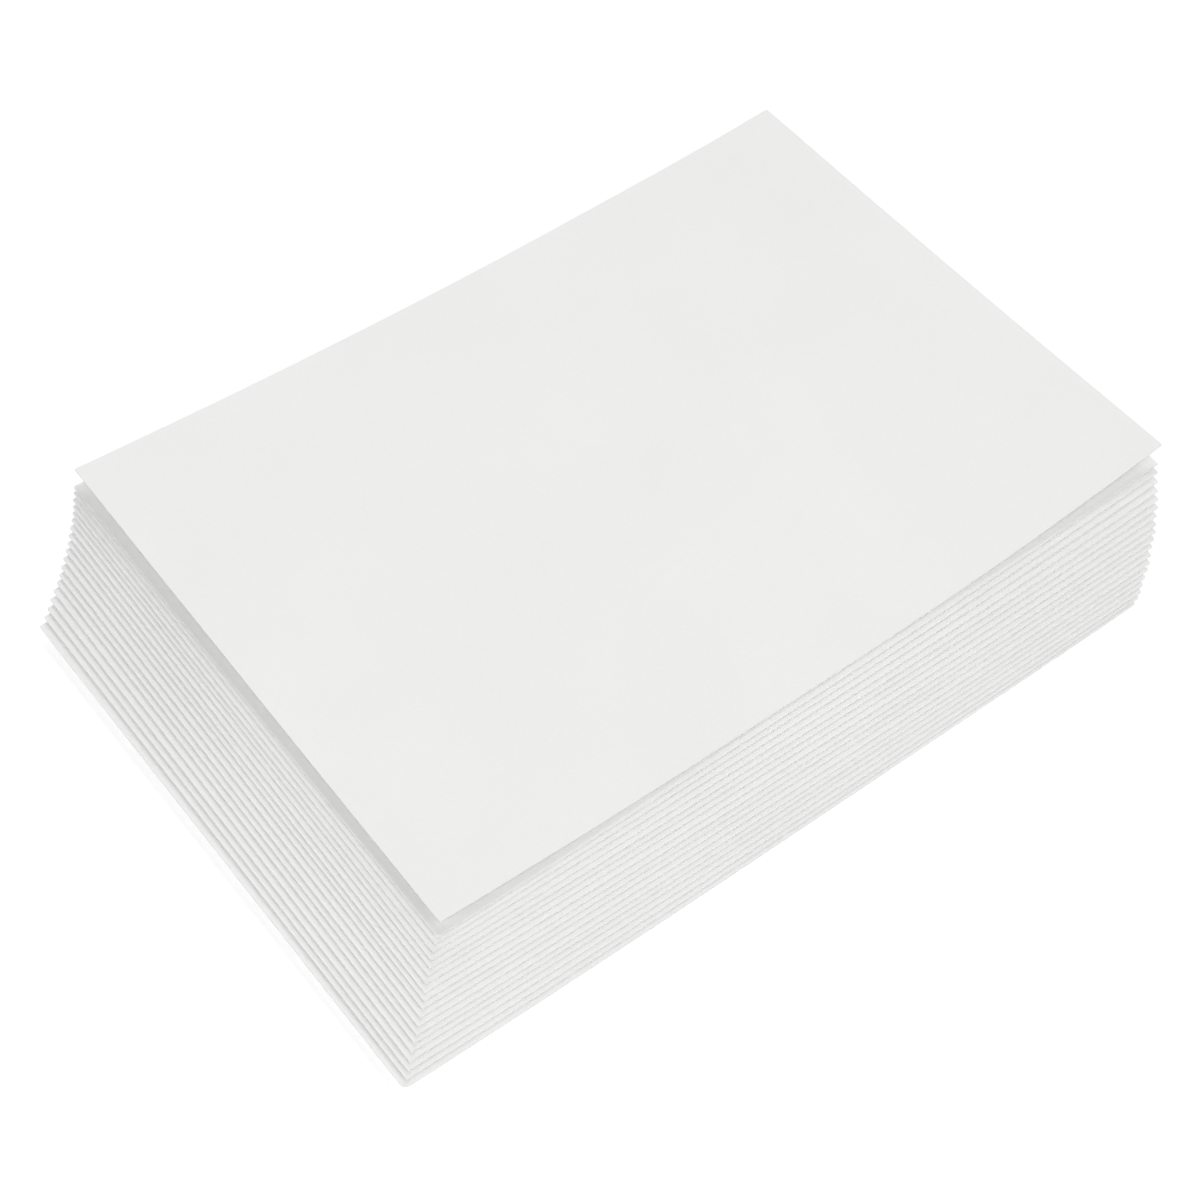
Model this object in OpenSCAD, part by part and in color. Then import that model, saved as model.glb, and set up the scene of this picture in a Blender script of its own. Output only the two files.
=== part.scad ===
// A loose stack of heavy white watercolor paper, slid out of square like a fan, with cupped sheets.
// The long side of a sheet lies along X, the short side along Y, and the stack rests on Z = 0.

/* [Sheets] */
// Number of sheets in the stack
sheet_count = 20; // [4:1:40]
// Long side of a sheet
sheet_l = 210; // [150:1:420]
// Short side of a sheet
sheet_w = 148; // [100:1:300]
// Thickness of one sheet
sheet_t = 0.4; // [0.3:0.05:1.2]
// Air between two sheets where they lie closest
sheet_gap = 0.2; // [0.15:0.05:1]
// Radius of a sheet's cut corner
corner_r = 0.4; // [0.2:0.1:5]
// Radius of the rubbed front corner of the bottom sheet and of the one under the top sheet
rubbed_r = 1.2; // [0.2:0.1:5]

/* [Curl] */
// Width of the strip down the middle of a sheet that stays flat
flat_w = 42; // [30:1:80]
// Radius that the ends of the bottom sheet curl up to
bottom_curl_r = 2400; // [1500:50:4000]
// Radius that the ends of the sheet under the top one curl up to
upper_curl_r = 1060; // [900:20:1400]
// Turn of the upper sheets' curl away from their short sides, so that two opposite corners rise most
curl_turn = 22; // [0:1:30]

/* [Top sheet's curl] */
// Width of the strip of the loose top sheet that stays flat
top_flat_w = 20; // [10:1:30]
// How far that strip lies towards the right end from the middle of the sheet
top_flat_shift = 22; // [0:1:28]
// Radius that the left end of the top sheet curls up to
top_left_r = 1180; // [900:10:1500]
// Radius that the right end of the top sheet curls up to
top_right_r = 535; // [450:5:650]
// Further air under the top sheet, which lies loose on the one below
top_rise = 0.2; // [0:0.05:3]

/* [Fan] */
// How far the bottom sheet is slid out along X from the sheet under the top one
fan_x = 24.6; // [0:0.1:60]
// How far the bottom sheet is slid out along Y from the sheet under the top one
fan_y = 22; // [0:0.1:60]
// How far the middle of the stack falls short of an even slide along X
bow_x = 1.7; // [0:0.1:6]
// How far the middle of the stack runs ahead of an even slide along Y
bow_y = 1.1; // [0:0.1:6]
// Turn of the middle sheets against the top and bottom ones
bow_turn = 0.8; // [0:0.1:3]
// Further slide of the top sheet along X from the one under it
top_slip_x = 1; // [0:0.1:5]
// Further slide of the top sheet along Y from the one under it
top_slip_y = 0.2; // [0:0.1:5]
// Turn of the top sheet against the one under it
top_turn = 0.1; // [0:0.05:3]
// How far single sheets stray from the fan along X and Y
stray = 0.1; // [0:0.02:0.5]
// How far single sheets are turned in the fan
stray_turn = 0.06; // [0:0.02:0.5]

/* [Hidden] */
PAPER = [0.93, 0.93, 0.92];
// Sheets in one wave of the stray turn
wave_sheets = 10;
// Step in degrees that makes the stray of neighbouring sheets look unrelated
stray_step = 87.5;
pitch = sheet_t + sheet_gap;
top = sheet_count - 1;
// A curl block of this length and width covers every sheet wherever it is slid to
reach = norm([sheet_l, sheet_w]) + fan_x + fan_y;
stack_h = pitch * sheet_count + top_rise + reach;

function two_digits(n) = str(n < 10 ? "0" : "", n);

// Depth of a sheet below the top one: 0 is the top sheet and 1 is the bottom sheet
function depth(i) = (top - i) / top;
function bow(i) = 4 * depth(i) * (1 - depth(i));
function blend(a, b, share) = a + (b - a) * share;

// Place of the centre of sheet i against the centre of the top sheet, and its turn in degrees
function slip(i) = i == top ? [0, 0] : [top_slip_x, top_slip_y];
function own_turn(i) = i == top ? -top_turn : 0;
function strayed(i) = stray * [sin(stray_step * i), cos(stray_step * i)];
function fanned(i) = [bow_x * bow(i) - fan_x * depth(i), -bow_y * bow(i) - fan_y * depth(i)];
function slide(i) = fanned(i) - slip(i) + strayed(i);
function strayed_turn(i) = stray_turn * cos(360 * (top - 1 - i) / wave_sheets);
function turn(i) = own_turn(i) + strayed_turn(i) - bow_turn * bow(i);
function rise(i) = pitch * i + (i == top ? top_rise : 0);

// The curl flattens towards the bottom of the stack, and its direction turns back to the short sides
function curl_r(i) = 1 / blend(1 / upper_curl_r, 1 / bottom_curl_r, depth(i));
function curl_direction(i) = -curl_turn * (1 - depth(i));

// Centre of the stack's outline seen from above, which becomes X = 0 and Y = 0
function turned(p, a) = [p.x * cos(a) - p.y * sin(a), p.x * sin(a) + p.y * cos(a)];
function corner(i, sx, sy) = slide(i) + turned([sx * sheet_l / 2, sy * sheet_w / 2], turn(i));
corners = [for (i = [0 : top], sx = [-1, 1], sy = [-1, 1]) corner(i, sx, sy)];
xs = [for (c = corners) c.x];
ys = [for (c = corners) c.y];
centre = [min(xs) + max(xs), min(ys) + max(ys)] / 2;

// What a round corner takes off a square one that points to -X and -Y
module corner_cut(r) {
    difference() {
        translate([-r, -r]) square(2 * r);
        translate([r, r]) circle(r, $fn = 48);
    }
}

// Flat outline of a sheet, with its front corner at -X and -Y
module outline(front_r) {
    difference() {
        square([sheet_l, sheet_w], center = true);
        translate([-sheet_l, -sheet_w] / 2) corner_cut(front_r);
        translate([sheet_l, -sheet_w] / 2) rotate(90) corner_cut(corner_r);
        translate([sheet_l, sheet_w] / 2) rotate(180) corner_cut(corner_r);
        translate([-sheet_l, sheet_w] / 2) rotate(270) corner_cut(corner_r);
    }
}

// One curled end in profile: an arc of the sheet's thickness that leaves the flat strip at X = 0
module curled_end(r) {
    intersection() {
        translate([0, r]) difference() {
            circle(r, $fn = 720);
            circle(r - sheet_t, $fn = 720);
        }
        square([reach, r]);
    }
}

// Profile of a curled sheet: a flat strip in the middle, with an end rising on each side of it
module curl_profile(strip_w, left_r, right_r) {
    translate([-strip_w / 2, 0]) square([strip_w, sheet_t]);
    translate([strip_w / 2, 0]) curled_end(right_r);
    translate([-strip_w / 2, 0]) mirror([1, 0]) curled_end(left_r);
}

// Profile of sheet i, counted from 0 at the bottom
module sheet_profile(i) {
    if (i == top) translate([top_flat_shift, 0]) curl_profile(top_flat_w, top_left_r, top_right_r);
    else curl_profile(flat_w, curl_r(i), curl_r(i));
}

// Sheet i, cut to its outline from a curled layer of the stack
module sheet(i) {
    front_r = i == 0 || i == top - 1 ? rubbed_r : corner_r;
    color(PAPER) translate([-centre.x, -centre.y, 0]) intersection() {
        translate([0, 0, rise(i)]) rotate([90, 0, curl_direction(i)])
            linear_extrude(height = 2 * reach, center = true) sheet_profile(i);
        translate(slide(i)) rotate(turn(i)) linear_extrude(height = stack_h) outline(front_r);
    }
}

for (i = [0 : top])
    sheet(i);
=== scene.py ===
"""A loose, fanned stack of heavy watercolor paper: twenty cupped white sheets on a plain pale floor.

Each sheet is a fine mesh that is laid over its own CAD node, so the stack keeps the CAD's sizes.
All lengths are in metres, but for the camera's lens and sensor, which are in millimetres.
"""

import math

import bpy
import numpy as np
from mathutils import Matrix, Vector, noise

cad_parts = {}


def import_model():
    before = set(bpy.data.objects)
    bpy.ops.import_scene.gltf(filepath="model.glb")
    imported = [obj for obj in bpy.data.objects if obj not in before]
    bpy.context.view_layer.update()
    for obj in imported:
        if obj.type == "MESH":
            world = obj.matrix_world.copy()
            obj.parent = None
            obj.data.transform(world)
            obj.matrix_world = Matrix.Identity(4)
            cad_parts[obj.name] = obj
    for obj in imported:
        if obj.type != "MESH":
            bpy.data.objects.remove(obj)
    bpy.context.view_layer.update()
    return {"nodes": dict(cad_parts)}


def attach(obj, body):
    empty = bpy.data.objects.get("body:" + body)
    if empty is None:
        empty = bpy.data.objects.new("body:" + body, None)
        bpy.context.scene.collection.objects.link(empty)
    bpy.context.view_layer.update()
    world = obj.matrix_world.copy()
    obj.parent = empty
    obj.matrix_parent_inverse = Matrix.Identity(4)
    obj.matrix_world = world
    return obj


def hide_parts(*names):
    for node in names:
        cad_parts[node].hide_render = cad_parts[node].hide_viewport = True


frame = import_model()

MM = 0.001

# Camera: its place, the heading, drop and roll of its view, its lens and the shift of its picture
CAMERA_AT = Vector((-0.24755, -0.31558, 0.54266))
CAMERA_HEADING = math.radians(52.187)
CAMERA_DROP = math.radians(54.693)
CAMERA_ROLL = math.radians(0.756)
CAMERA_LENS = 84.94
CAMERA_SENSOR = 36.0
CAMERA_SHIFT = (0.0035, 0.0170)
CAMERA_RANGE = (0.01, 20.0)

# Reading a sheet's shape from its CAD node
ON_SIDE = 0.005 * MM        # a corner point this close to a side lies on it
FACING = 0.9                # share of a normal along -Y that makes a face the front one
LEVEL = 0.5                 # share of a normal along Z that makes a face an upper or under one

# Sheet meshes
GRID = 4 * MM               # spacing of the grid over a sheet
TOP_GRID = 1.6 * MM         # the same on the top sheet, which shows its whole face
RIM_STEPS = [q * MM for q in (0.12, 0.25, 0.45, 0.8, 1.4, 2.4)]     # grid lines close to an edge
ARRIS = 0.06 * MM           # rounding of a cut edge
WAVE_LENGTH = 42 * MM       # slight cockle of a sheet
WAVE_HEIGHT = 0.03 * MM
WANDER_LENGTH = 30 * MM     # slight wander of a cut edge
WANDER = 0.025 * MM
FRAY_LENGTH = 1.7 * MM      # roughness of a cut edge
FRAY = 0.009 * MM
NOISE_GAIN = 1.6            # brings smooth noise to about -1 to 1
SHEET_SEED = 7.7            # steps that give each sheet, row and direction a noise of its own
ROW_SEED = 3.3
SIDE_SEED = 40
WAVE_SEED = 80

# Paper's surface: sizes as features per metre
FACE_GRAINS = 900.0
EDGE_GRAINS = 2400.0
PITS = 620.0
CLOUDS = 28.0
FIBRES = 2200.0
TOOTH_DEPTH = 0.06 * MM
FACE_TOOTH = 0.35
EDGE_TOOTH = 0.6
ROUGHNESS = 0.92
SPECULAR = 0.25
MOTTLE_STOPS = (0.3, 0.7)   # levels of the mottle that bring the paper's dullest and brightest tone
MOTTLE_TONES = (0.975, 1.012)

# Tones
PAPER = (0.850, 0.850, 0.845)
CUT_EDGE = 0.985            # level of a cut edge against the face
FLOOR = 0.80
FLOOR_GLOW = 0.38
FLOOR_HALF = 1.2
FLOOR_DROP = 0.05 * MM      # how far the floor lies below the stack

# Light: brightness of the sky, and each lamp's heading and height in degrees, its size and its watts
SKY = 0.10
LAMP_DISTANCE = 4.0
LAMPS = {
    "left": (195, 35, 2.4, 36.0),
    "front": (232, 50, 2.4, 94.0),
    "right": (310, 35, 2.4, 33.0),
    "low_back": (45, 25, 0.8, 33.0),
    "back": (45, 50, 1.0, 37.0),
}


def camera():
    data = bpy.data.cameras.new("camera")
    data.sensor_width = CAMERA_SENSOR
    data.lens = CAMERA_LENS
    data.shift_x, data.shift_y = CAMERA_SHIFT
    data.clip_start, data.clip_end = CAMERA_RANGE
    ahead = Vector((
        math.cos(CAMERA_HEADING) * math.cos(CAMERA_DROP),
        math.sin(CAMERA_HEADING) * math.cos(CAMERA_DROP),
        -math.sin(CAMERA_DROP),
    ))
    right = ahead.cross(Vector((0, 0, 1))).normalized()
    up = right.cross(ahead)
    c, s = math.cos(CAMERA_ROLL), math.sin(CAMERA_ROLL)
    right, up = c * right + s * up, c * up - s * right
    o = bpy.data.objects.new("camera", data)
    o.matrix_world = Matrix.Translation(CAMERA_AT) @ Matrix((right, up, -ahead)).transposed().to_4x4()
    bpy.context.scene.collection.objects.link(o)
    bpy.context.scene.camera = o


# Reading a sheet's shape back from its CAD node

def arrays(node):
    """Vertices of a CAD node, and each face's vertex list, normal and area."""
    me = frame["nodes"][node].data
    co = np.array([v.co for v in me.vertices], float)
    faces = [np.array(p.vertices) for p in me.polygons]
    nor = np.array([p.normal for p in me.polygons], float)
    area = np.array([p.area for p in me.polygons], float)
    return co, faces, nor, area


class Curl:
    """Layer that a curled sheet is cut from: a flat strip, with an arc rising at each end.

    Its values p are fitted to the under face: heading of the curl, middle and half width of the
    flat strip, bend of the left and of the right end in 1/m, and height of the flat strip.
    """

    FIRST_HALF = 20 * MM
    FIRST_BEND = 1.0
    # Small change of each value, which shows how the fit's miss depends on it
    NUDGE = np.array([1e-5, 1e-6, 1e-6, 1e-5, 1e-5, 1e-8])
    FIT_STEPS = 40
    FIT_DAMPING = 0.7

    def __init__(self, points, heading, thickness):
        self.thickness = thickness
        x, y, z = points.T
        w = x * math.cos(heading) + y * math.sin(heading)
        middle = (w.min() + w.max()) / 2
        p = np.array([heading, middle, self.FIRST_HALF, self.FIRST_BEND, self.FIRST_BEND, z.min()])
        for _ in range(self.FIT_STEPS):
            miss = self.low(p, x, y) - z
            slopes = np.stack([
                (self.low(p + nudge, x, y) - z - miss) / nudge.max() for nudge in np.diag(self.NUDGE)
            ], 1)
            scale = np.linalg.norm(slopes, axis=0) + 1e-12
            p = p - self.FIT_DAMPING * np.linalg.lstsq(slopes / scale, miss, rcond=None)[0] / scale
        self.p = p

    @staticmethod
    def low(p, x, y, inner=0.0):
        """Height of the under face at x, y, or of a face that lies further in by the distance inner."""
        heading, middle, half, left, right, base = p
        w = x * math.cos(heading) + y * math.sin(heading) - middle
        d = np.maximum(np.abs(w) - half, 0)
        radius = 1 / np.where(w > 0, right, left)
        return base + radius - np.sqrt((radius - inner) ** 2 - d * d)

    def height(self, x, y, share):
        """Height of the layer at x, y: share 0 is its under face and 1 its upper face."""
        low = self.low(self.p, x, y)
        return low + share * (self.low(self.p, x, y, self.thickness) - low)


def read_sheet(node):
    """A sheet's turn, the corners of its outline, the radii of its corners and its curl."""
    co, faces, nor, area = arrays(node)
    front = nor[np.argmax(np.where(nor[:, 1] < -FACING, area, 0))]
    turn = math.atan2(front[0], -front[1])
    c, s = math.cos(turn), math.sin(turn)
    u, v = co[:, 0] * c + co[:, 1] * s, co[:, 1] * c - co[:, 0] * s
    low, high = np.array([u.min(), v.min()]), np.array([u.max(), v.max()])
    rounds = {}
    for a in (0, 1):
        for b in (0, 1):
            corner_u, corner_v = (low, high)[a][0], (low, high)[b][1]
            on_side = np.abs(v - corner_v) < ON_SIDE
            rounds[a, b] = np.abs(u[on_side] - corner_u).min()
    down, up = nor[:, 2] < -LEVEL, nor[:, 2] > LEVEL
    slant = nor[down][:, :2]
    way = np.linalg.eigh((slant * area[down][:, None]).T @ slant)[1][:, 1]
    way = way * math.copysign(1, way[0])
    under = np.unique(np.concatenate([f for f, d in zip(faces, down) if d]))
    over = np.unique(np.concatenate([f for f, d in zip(faces, up) if d]))
    thickness = co[over, 2].min() - co[under, 2].min()
    curl = Curl(co[under], math.atan2(way[1], way[0]), thickness)
    return {"turn": turn, "low": low, "high": high, "rounds": rounds, "curl": curl}


# Sheet meshes

def grid_lines(length, spacing):
    """Distances from 0 to length, close together near both ends."""
    rim = [0.0] + RIM_STEPS
    inner = np.linspace(rim[-1], length - rim[-1], max(2, round(length / spacing)) + 1)
    return np.concatenate([rim[:-1], inner, [length - q for q in rim[-2::-1]]])


def rounded(u, v, half, rounds):
    """Moves the points of a rectangle's grid so that its corners are round."""
    u, v = u.copy(), v.copy()
    for (a, b), r in rounds.items():
        su, sv = (-1, 1)[a], (-1, 1)[b]
        du, dv = su * u - (half[0] - r), sv * v - (half[1] - r)
        there = (du > 0) & (dv > 0)
        k = np.ones_like(u)
        k[there] = np.maximum(du, dv)[there] / np.hypot(du, dv)[there]
        u = np.where(there, su * (half[0] - r + du * k), u)
        v = np.where(there, sv * (half[1] - r + dv * k), v)
    return u, v


def ripple(x, y, length, seed):
    """Smooth noise from about -1 to 1 at each point."""
    return np.array([
        noise.noise(Vector((a / length, b / length, seed))) for a, b in zip(x, y)
    ]) * NOISE_GAIN


def edge_rows(thickness):
    """Rows of a cut edge from the upper face down: how far out, how high, and whether it frays."""
    a = ARRIS / thickness
    arris = [(0.55, 0.12 * a, False), (0.9, 0.5 * a, False), (1, a, True)]
    upper = [(out, 1 - drop, frays) for out, drop, frays in arris]
    return upper + [(1, 0.66, True), (1, 0.34, True)] + arris[::-1]


def placed(shape, u, v, share, seed):
    """Points of a sheet at u, v from its middle along its sides, at a share of its thickness."""
    middle = (shape["high"] + shape["low"]) / 2
    u, v = u + middle[0], v + middle[1]
    c, s = math.cos(shape["turn"]), math.sin(shape["turn"])
    x, y = u * c - v * s, u * s + v * c
    z = shape["curl"].height(x, y, share)
    x = x + WANDER * ripple(x, y, WANDER_LENGTH, seed)
    y = y + WANDER * ripple(x, y, WANDER_LENGTH, seed + SIDE_SEED)
    return np.stack([x, y, z + WAVE_HEIGHT * ripple(x, y, WAVE_LENGTH, seed + WAVE_SEED)], 1)


def sheet_faces(index, ring, row_count):
    """Faces of the two grids of a sheet, and those of the cut edge between them."""
    first_row = index.size
    under = first_row + row_count * len(ring)
    a, b, c, d = [q.ravel() for q in (index[:-1, :-1], index[1:, :-1], index[1:, 1:], index[:-1, 1:])]
    grids = np.concatenate([np.stack([a, b, c, d], 1), under + np.stack([a, d, c, b], 1)])
    rows = [first_row + k * len(ring) + np.arange(len(ring)) for k in range(row_count)]
    loops = [ring] + rows + [under + ring]
    sides = [
        np.stack([np.roll(upper, -1), upper, lower, np.roll(lower, -1)], 1)
        for upper, lower in zip(loops, loops[1:])
    ]
    return grids, np.concatenate(sides)


def sheet_mesh(name, shape, spacing, seed):
    half = (shape["high"] - shape["low"]) / 2 - ARRIS
    lines_u, lines_v = [grid_lines(2 * h, spacing) - h for h in half]
    gu, gv = [g.ravel() for g in np.meshgrid(lines_u, lines_v, indexing="ij")]
    gu, gv = rounded(gu, gv, half, {k: r - ARRIS for k, r in shape["rounds"].items()})
    index = np.arange(gu.size).reshape(len(lines_u), len(lines_v))
    ring = np.concatenate([index[:-1, 0], index[-1, :-1], index[:0:-1, -1], index[0, :0:-1]])
    ru, rv = gu[ring], gv[ring]
    # Outward direction at each point of the rim
    tu, tv = np.roll(ru, -1) - np.roll(ru, 1), np.roll(rv, -1) - np.roll(rv, 1)
    ou, ov = tv / np.hypot(tu, tv), -tu / np.hypot(tu, tv)
    rows = edge_rows(shape["curl"].thickness)
    points = [placed(shape, gu, gv, 1, seed)]
    for k, (share, height, frays) in enumerate(rows):
        fray = FRAY * ripple(ru, rv, FRAY_LENGTH, seed + ROW_SEED * k) if frays else 0
        out = ARRIS * share + fray
        points.append(placed(shape, ru + ou * out, rv + ov * out, height, seed))
    points.append(placed(shape, gu, gv, 0, seed))
    grids, sides = sheet_faces(index, ring, len(rows))
    me = bpy.data.meshes.new(name)
    me.from_pydata(np.concatenate(points).tolist(), [], np.concatenate([grids, sides]).tolist())
    me.shade_smooth()
    me.polygons.foreach_set("material_index", [0] * len(grids) + [1] * len(sides))
    me.update()
    return me


# Materials

def tree(name):
    m = bpy.data.materials.new(name)
    m.use_nodes = True
    nt = m.node_tree
    nt.nodes.clear()
    return m, nt


def add(nt, kind, inputs=None, **settings):
    """A new shader node: each input is linked to a socket or set to a value."""
    n = nt.nodes.new(kind)
    for k, v in settings.items():
        setattr(n, k, v)
    for k, v in (inputs or {}).items():
        if isinstance(v, bpy.types.NodeSocket):
            nt.links.new(v, n.inputs[k])
        else:
            n.inputs[k].default_value = v
    return n


def paper(name, tone, grains, tooth):
    """Uncoated cotton paper: a fine tooth with small pits, faint clouding and fibres, and a matt face."""
    m, nt = tree(name)
    at = add(nt, "ShaderNodeTexCoord").outputs["Object"]
    grain = add(nt, "ShaderNodeTexNoise", {"Vector": at, "Scale": grains, "Detail": 1.0}).outputs[0]
    pits = add(nt, "ShaderNodeTexVoronoi", {"Vector": at, "Scale": PITS}).outputs["Distance"]
    height = add(nt, "ShaderNodeMath", {0: grain, 1: pits}, operation="ADD").outputs[0]
    bump = add(nt, "ShaderNodeBump", {"Height": height, "Strength": tooth, "Distance": TOOTH_DEPTH})
    cloud = add(nt, "ShaderNodeTexNoise", {"Vector": at, "Scale": CLOUDS, "Detail": 2.0}).outputs[0]
    fibre = add(nt, "ShaderNodeTexNoise", {"Vector": at, "Scale": FIBRES, "Detail": 1.0}).outputs[0]
    both = add(nt, "ShaderNodeMath", {0: cloud, 1: fibre}, operation="ADD").outputs[0]
    mean = add(nt, "ShaderNodeMath", {0: both, 1: 0.5}, operation="MULTIPLY").outputs[0]
    ramp = add(nt, "ShaderNodeValToRGB", {"Fac": mean})
    for stop, place, level in zip(ramp.color_ramp.elements, MOTTLE_STOPS, MOTTLE_TONES):
        stop.position = place
        stop.color = (*[q * level for q in tone], 1)
    shader = add(nt, "ShaderNodeBsdfPrincipled", {
        "Base Color": ramp.outputs[0],
        "Normal": bump.outputs[0],
        "Roughness": ROUGHNESS,
        "Specular IOR Level": SPECULAR,
    })
    add(nt, "ShaderNodeOutputMaterial", {"Surface": shader.outputs[0]})
    return m


def seen(nt):
    """1 to the camera, in reflections and through clear things, and 0 to all other rays."""
    path = add(nt, "ShaderNodeLightPath").outputs
    direct = {0: path["Is Camera Ray"], 1: path["Is Glossy Ray"]}
    plain = add(nt, "ShaderNodeMath", direct, operation="MAXIMUM").outputs[0]
    both = {0: plain, 1: path["Is Transmission Ray"]}
    return add(nt, "ShaderNodeMath", both, operation="MAXIMUM").outputs[0]


# Floor, sky and lamps

def floor():
    """Pale floor with a glow that only the camera and reflections see: white, with the stack's shadow."""
    m, nt = tree("floor")
    plain = add(nt, "ShaderNodeBsdfDiffuse", {"Color": (FLOOR, FLOOR, FLOOR, 1)})
    strength = add(nt, "ShaderNodeMath", {0: seen(nt), 1: FLOOR_GLOW}, operation="MULTIPLY")
    glow = add(nt, "ShaderNodeEmission", {"Color": (1, 1, 1, 1), "Strength": strength.outputs[0]})
    both = add(nt, "ShaderNodeAddShader", {0: plain.outputs[0], 1: glow.outputs[0]})
    add(nt, "ShaderNodeOutputMaterial", {"Surface": both.outputs[0]})
    far = FLOOR_HALF
    me = bpy.data.meshes.new("floor")
    me.from_pydata([(-far, -far, 0), (far, -far, 0), (far, far, 0), (-far, far, 0)], [], [(0, 1, 2, 3)])
    me.materials.append(m)
    o = bpy.data.objects.new("floor", me)
    o.location.z = -FLOOR_DROP
    bpy.context.scene.collection.objects.link(o)


def world():
    """Dim sky that is plain white to the camera and in reflections."""
    w = bpy.data.worlds.new("world")
    bpy.context.scene.world = w
    w.use_nodes = True
    nt = w.node_tree
    nt.nodes.clear()
    soft = add(nt, "ShaderNodeBackground", {"Color": (1, 1, 1, 1), "Strength": SKY})
    white = add(nt, "ShaderNodeBackground", {"Color": (1, 1, 1, 1), "Strength": 1.0})
    mix = add(nt, "ShaderNodeMixShader", {0: seen(nt), 1: soft.outputs[0], 2: white.outputs[0]})
    add(nt, "ShaderNodeOutputWorld", {"Surface": mix.outputs[0]})


def lamp(name, heading, height, size, power):
    """Square lamp that looks at the stack from a heading and an angle above the floor, both in degrees."""
    data = bpy.data.lights.new(name, "AREA")
    data.shape = "SQUARE"
    data.size = size
    data.energy = power
    across = math.cos(math.radians(height))
    way = Vector((
        across * math.cos(math.radians(heading)),
        across * math.sin(math.radians(heading)),
        math.sin(math.radians(height)),
    ))
    o = bpy.data.objects.new(name, data)
    o.location = LAMP_DISTANCE * way
    o.rotation_euler = (-way).to_track_quat("-Z", "Y").to_euler()
    bpy.context.scene.collection.objects.link(o)


camera()
bpy.context.scene.view_settings.view_transform = "Standard"
world()
floor()
for name, settings in LAMPS.items():
    lamp(name, *settings)

face = paper("paper_face", PAPER, FACE_GRAINS, FACE_TOOTH)
edge = paper("paper_cut_edge", tuple(q * CUT_EDGE for q in PAPER), EDGE_GRAINS, EDGE_TOOTH)
nodes = sorted(frame["nodes"])
for number, node in enumerate(nodes):
    spacing = TOP_GRID if node == nodes[-1] else GRID
    me = sheet_mesh(node + "_paper", read_sheet(node), spacing, SHEET_SEED * number)
    me.materials.append(face)
    me.materials.append(edge)
    piece = bpy.data.objects.new(node + "_paper", me)
    bpy.context.scene.collection.objects.link(piece)
    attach(piece, "root")
    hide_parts(node)
